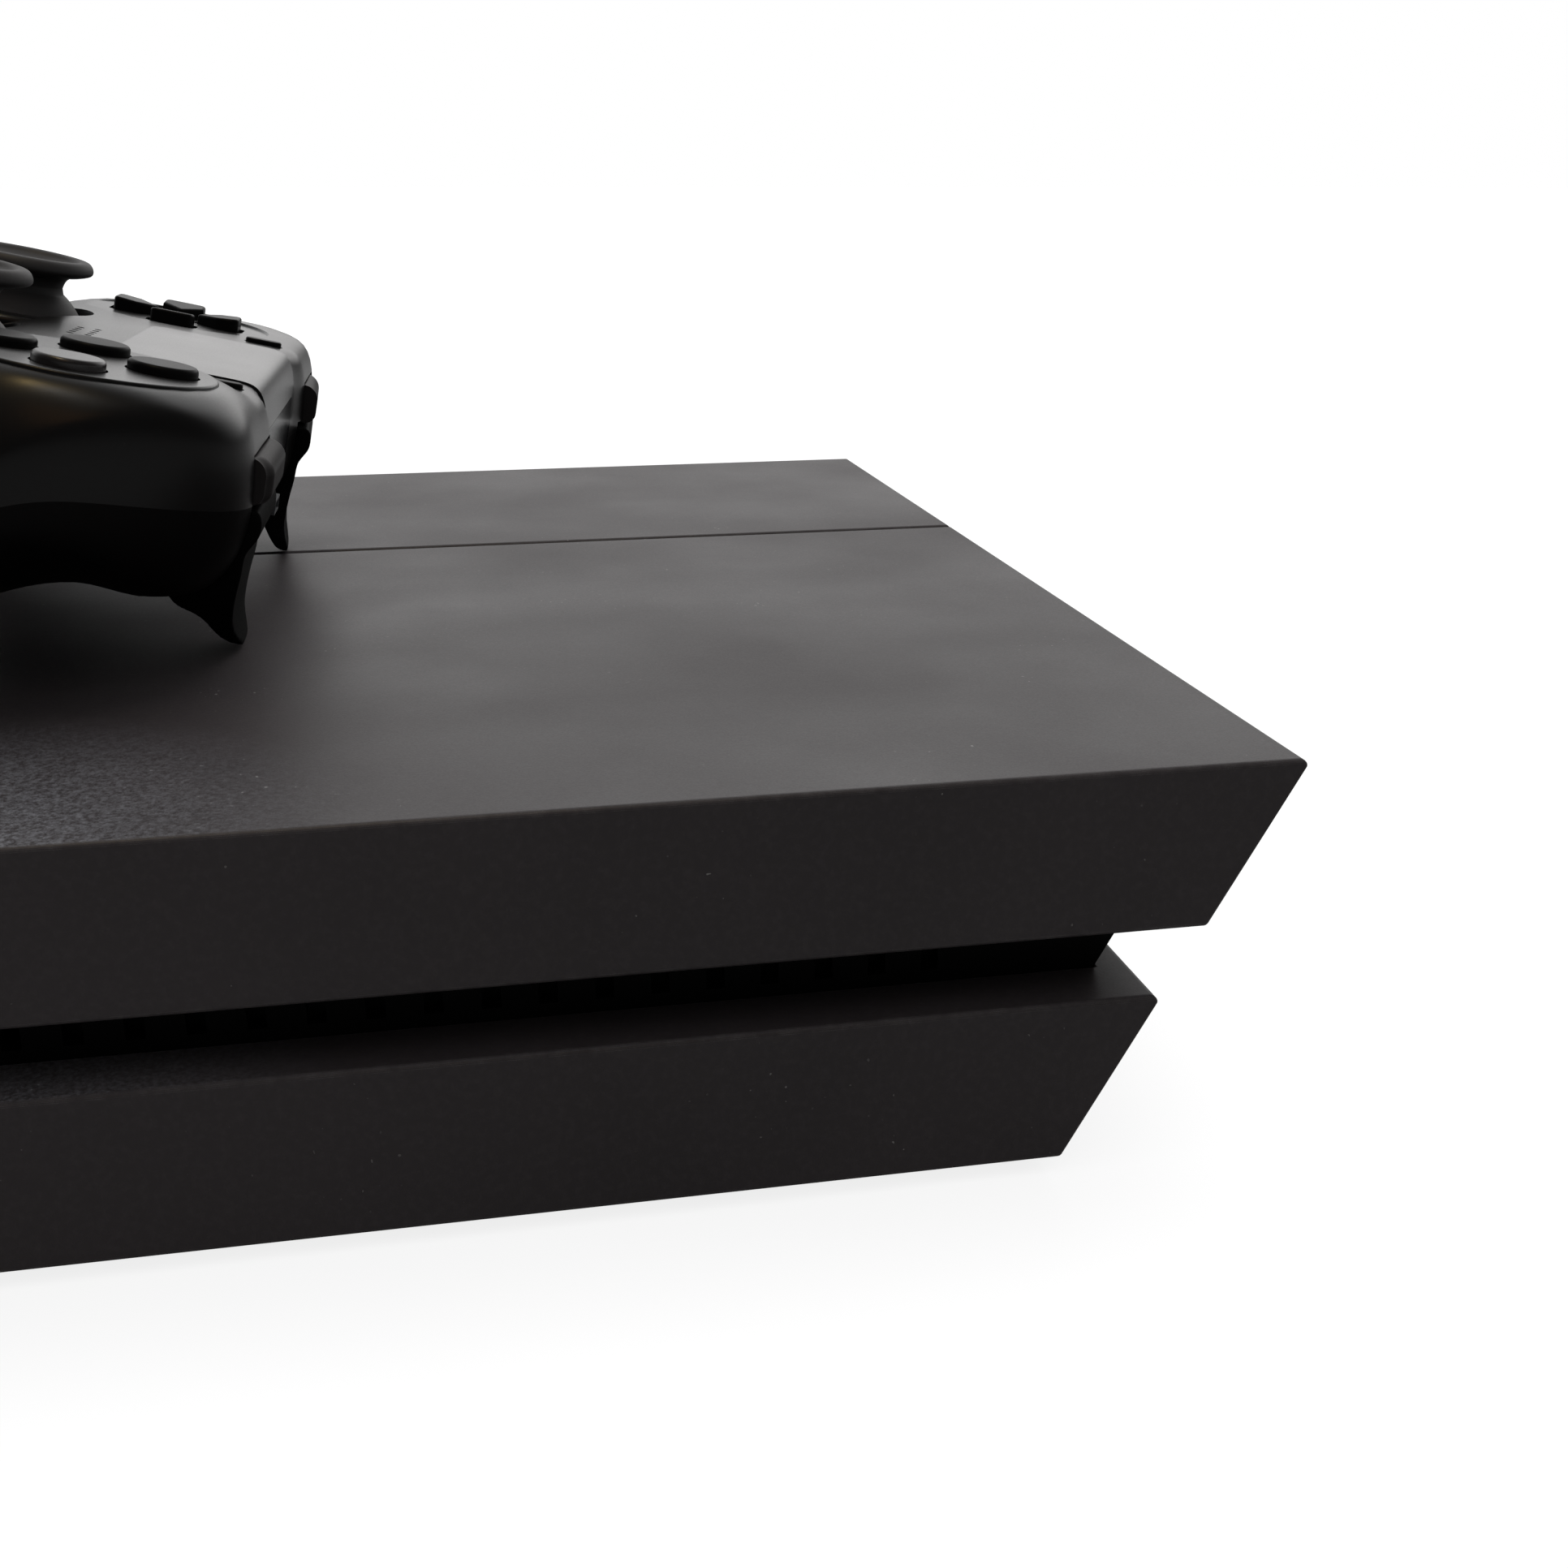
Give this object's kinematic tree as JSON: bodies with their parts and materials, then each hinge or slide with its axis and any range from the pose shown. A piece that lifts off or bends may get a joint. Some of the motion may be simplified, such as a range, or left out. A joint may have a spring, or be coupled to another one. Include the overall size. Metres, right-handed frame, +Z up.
{
  "type": "game console with controller",
  "caption": "Slope-sided home game console, black recess round its middle, with a twin-stick wireless controller resting on its lid.",
  "frame": {"origin": "on the table under the middle of the console, which is the middle of the whole part", "axes": "+Z up; the console front and the controller nose face -Y; +X is the side with the drive cover, to the right of a person facing the front"},
  "size_m": [0.275, 0.305, 0.116],
  "materials": {
    "cover_plastic": "fine matte grain, warm charcoal",
    "black_plastic": "plain black",
    "key_plastic": "satin",
    "light_diffuser": "frosted, unlit",
    "sheet_steel": "rolled sheet",
    "roller_rubber": "soft",
    "foot_rubber": "matte",
    "mat_rubber": "moulded",
    "psu_plastic": "textured",
    "circuit_board": "solder mask",
    "heat_aluminium": "extruded",
    "fan_plastic": "moulded",
    "steel": "machined",
    "port_plastic": "moulded",
    "pad_shell_plastic": "satin black",
    "pad_back_plastic": "fine grain black",
    "touch_plastic": "fine dots, satin",
    "lens_plastic": "smoked",
    "control_plastic": "satin",
    "trigger_plastic": "gloss",
    "stick_rubber": "moulded rubber",
    "battery_wrap": "film"
  },
  "bodies": {
    "console": {"top_cover": "cover_plastic", "bottom_cover": "cover_plastic", "mid_frame": "black_plastic", "status_light": "light_diffuser", "disc_drive": "sheet_steel", "power_supply": "psu_plastic", "ac_inlet": "black_plastic", "main_board": "circuit_board", "processor": "steel", "heat_sink": "heat_aluminium", "fan_housing": "fan_plastic", "drive_deck": "sheet_steel", "hdd_caddy": "sheet_steel", "hard_drive": "sheet_steel", "back_ports": "port_plastic", "usb_ports": "sheet_steel", "rubber_feet": "foot_rubber", "case_screws": "steel"},
    "controller": {"pad_front_shell": "pad_shell_plastic", "pad_back_shell": "pad_back_plastic", "pad_light_lens": "lens_plastic", "pad_trigger_pins": "steel", "pad_stick_modules": "sheet_steel", "pad_circuit_board": "circuit_board", "pad_battery": "battery_wrap", "pad_inner_frame": "black_plastic", "pad_rumble_motors": "steel", "pad_switch_mats": "mat_rubber", "pad_speaker": "black_plastic", "pad_sockets": "sheet_steel", "pad_screws": "steel"},
    "hdd_cover": {"hdd_cover": "cover_plastic"},
    "power_button": {"power_button": "key_plastic"},
    "eject_button": {"eject_button": "key_plastic"},
    "disc_hub": {"disc_hub": "black_plastic"},
    "feed_roller": {"feed_roller": "roller_rubber"},
    "fan_rotor": {"fan_rotor": "fan_plastic"},
    "touchpad": {"pad_touchpad": "touch_plastic"},
    "dpad_pivot": {"pad_dpad_pivot": "port_plastic"},
    "dpad": {"pad_dpad": "control_plastic"},
    "button_north": {"pad_button_north": "control_plastic"},
    "button_east": {"pad_button_east": "control_plastic"},
    "button_south": {"pad_button_south": "control_plastic"},
    "button_west": {"pad_button_west": "control_plastic"},
    "share_button": {"pad_share_button": "control_plastic"},
    "options_button": {"pad_options_button": "control_plastic"},
    "home_button": {"pad_home_button": "control_plastic"},
    "left_bumper": {"pad_left_bumper": "trigger_plastic"},
    "right_bumper": {"pad_right_bumper": "trigger_plastic"},
    "left_trigger": {"pad_left_trigger": "trigger_plastic"},
    "right_trigger": {"pad_right_trigger": "trigger_plastic"},
    "left_rocker": {"pad_left_rocker": "steel"},
    "left_cradle": {"pad_left_cradle": "port_plastic"},
    "left_cap": {"pad_left_stick_cap": "stick_rubber"},
    "right_rocker": {"pad_right_rocker": "steel"},
    "right_cradle": {"pad_right_cradle": "port_plastic"},
    "right_cap": {"pad_right_stick_cap": "stick_rubber"},
    "left_weight": {"pad_left_weight": "steel"},
    "right_weight": {"pad_right_weight": "steel"}
  },
  "joints": [
    {"name": "hdd_cover_slide", "type": "slide", "parent": "console", "child": "hdd_cover", "axis": [1, 0, 0], "range_m": [0, 0.11]},
    {"name": "power_press", "type": "slide", "parent": "console", "child": "power_button", "axis": [0, 1, 0], "range_m": [0, 0.0008], "stiffness_N_per_m": 400, "springref_m": -0.0004},
    {"name": "eject_press", "type": "slide", "parent": "console", "child": "eject_button", "axis": [0, 1, 0], "range_m": [0, 0.0008], "stiffness_N_per_m": 400, "springref_m": -0.0004},
    {"name": "disc_hub_spin", "type": "hinge", "parent": "console", "child": "disc_hub", "pos_m": [-0.048, -0.05881, 0.0246], "axis": [0, 0, 1], "continuous": true},
    {"name": "feed_roller_spin", "type": "hinge", "parent": "console", "child": "feed_roller", "pos_m": [-0.048, -0.11581, 0.0265], "axis": [1, 0, 0], "continuous": true},
    {"name": "fan_spin", "type": "hinge", "parent": "console", "child": "fan_rotor", "pos_m": [0.08405, 0.018, 0.022], "axis": [0, 0, 1], "continuous": true},
    {"name": "controller_lift", "type": "slide", "parent": "console", "child": "controller", "axis": [0, 0, 1], "range_m": [0, 0.12]},
    {"name": "touchpad_click", "type": "hinge", "parent": "controller", "child": "touchpad", "pos_m": [-0.00079, -0.02312, 0.08775], "axis": [-0.9994, 0.0349, 0], "range_deg": [0, 1.2], "stiffness_Nm_per_rad": 0.4, "springref_deg": -1.15},
    {"name": "dpad_tilt_up_down", "type": "hinge", "parent": "controller", "child": "dpad_pivot", "pos_m": [0.054, -0.0013, 0.09352], "axis": [-0.9994, 0.0349, 0], "range_deg": [-3.5, 3.5], "stiffness_Nm_per_rad": 0.1},
    {"name": "dpad_tilt_left_right", "type": "hinge", "parent": "dpad_pivot", "child": "dpad", "pos_m": [0.054, -0.0013, 0.09352], "axis": [-0.0341, -0.9757, -0.2164], "range_deg": [-3.5, 3.5], "stiffness_Nm_per_rad": 0.1},
    {"name": "button_north_press", "type": "slide", "parent": "controller", "child": "button_north", "axis": [0.0076, 0.2163, -0.9763], "range_m": [0, 0.0012], "stiffness_N_per_m": 400, "springref_m": -0.0004},
    {"name": "button_east_press", "type": "slide", "parent": "controller", "child": "button_east", "axis": [0.0076, 0.2163, -0.9763], "range_m": [0, 0.0012], "stiffness_N_per_m": 400, "springref_m": -0.0004},
    {"name": "button_south_press", "type": "slide", "parent": "controller", "child": "button_south", "axis": [0.0076, 0.2163, -0.9763], "range_m": [0, 0.0012], "stiffness_N_per_m": 400, "springref_m": -0.0004},
    {"name": "button_west_press", "type": "slide", "parent": "controller", "child": "button_west", "axis": [0.0076, 0.2163, -0.9763], "range_m": [0, 0.0012], "stiffness_N_per_m": 400, "springref_m": -0.0004},
    {"name": "share_press", "type": "slide", "parent": "controller", "child": "share_button", "axis": [0.0076, 0.2163, -0.9763], "range_m": [0, 0.0007], "stiffness_N_per_m": 400, "springref_m": -0.0004},
    {"name": "options_press", "type": "slide", "parent": "controller", "child": "options_button", "axis": [0.0076, 0.2163, -0.9763], "range_m": [0, 0.0007], "stiffness_N_per_m": 400, "springref_m": -0.0004},
    {"name": "home_press", "type": "slide", "parent": "controller", "child": "home_button", "axis": [0.0076, 0.2163, -0.9763], "range_m": [0, 0.0008], "stiffness_N_per_m": 400, "springref_m": -0.0004},
    {"name": "left_bumper_press", "type": "hinge", "parent": "controller", "child": "left_bumper", "pos_m": [0.03784, -0.01996, 0.08547], "axis": [-0.0076, -0.2163, 0.9763], "range_deg": [0, 2.6], "stiffness_Nm_per_rad": 0.3, "springref_deg": -1.72},
    {"name": "right_bumper_press", "type": "hinge", "parent": "controller", "child": "right_bumper", "pos_m": [-0.03911, -0.01728, 0.08547], "axis": [0.0076, 0.2163, -0.9763], "range_deg": [0, 2.6], "stiffness_Nm_per_rad": 0.3, "springref_deg": -1.72},
    {"name": "left_trigger_pull", "type": "hinge", "parent": "controller", "child": "left_trigger", "pos_m": [0.04684, -0.02017, 0.07576], "axis": [0.9994, -0.0349, 0], "range_deg": [0, 16], "stiffness_Nm_per_rad": 0.08, "springref_deg": -20.05},
    {"name": "right_trigger_pull", "type": "hinge", "parent": "controller", "child": "right_trigger", "pos_m": [-0.0481, -0.01686, 0.07576], "axis": [0.9994, -0.0349, 0], "range_deg": [0, 16], "stiffness_Nm_per_rad": 0.08, "springref_deg": -20.05},
    {"name": "left_stick_up_down", "type": "hinge", "parent": "controller", "child": "left_rocker", "pos_m": [0.02885, 0.02345, 0.09676], "axis": [0.9994, -0.0349, 0], "range_deg": [-16, 16], "stiffness_Nm_per_rad": 0.06},
    {"name": "left_stick_left_right", "type": "hinge", "parent": "left_rocker", "child": "left_cradle", "pos_m": [0.02885, 0.02345, 0.09676], "axis": [-0.0341, -0.9757, -0.2164], "range_deg": [-16, 16], "stiffness_Nm_per_rad": 0.06},
    {"name": "left_stick_press", "type": "slide", "parent": "left_cradle", "child": "left_cap", "axis": [0.0076, 0.2163, -0.9763], "range_m": [0, 0.0006], "stiffness_N_per_m": 900, "springref_m": -0.0004},
    {"name": "right_stick_up_down", "type": "hinge", "parent": "controller", "child": "right_rocker", "pos_m": [-0.02711, 0.02541, 0.09676], "axis": [0.9994, -0.0349, 0], "range_deg": [-16, 16], "stiffness_Nm_per_rad": 0.06},
    {"name": "right_stick_left_right", "type": "hinge", "parent": "right_rocker", "child": "right_cradle", "pos_m": [-0.02711, 0.02541, 0.09676], "axis": [0.0341, 0.9757, 0.2164], "range_deg": [-16, 16], "stiffness_Nm_per_rad": 0.06},
    {"name": "right_stick_press", "type": "slide", "parent": "right_cradle", "child": "right_cap", "axis": [0.0076, 0.2163, -0.9763], "range_m": [0, 0.0006], "stiffness_N_per_m": 900, "springref_m": -0.0004},
    {"name": "left_weight_spin", "type": "hinge", "parent": "controller", "child": "left_weight", "pos_m": [0.0642, 0.03263, 0.07756], "axis": [-0.9994, 0.0349, 0], "continuous": true},
    {"name": "right_weight_spin", "type": "hinge", "parent": "controller", "child": "right_weight", "pos_m": [-0.06173, 0.03703, 0.07756], "axis": [-0.9994, 0.0349, 0], "continuous": true}
  ]
}
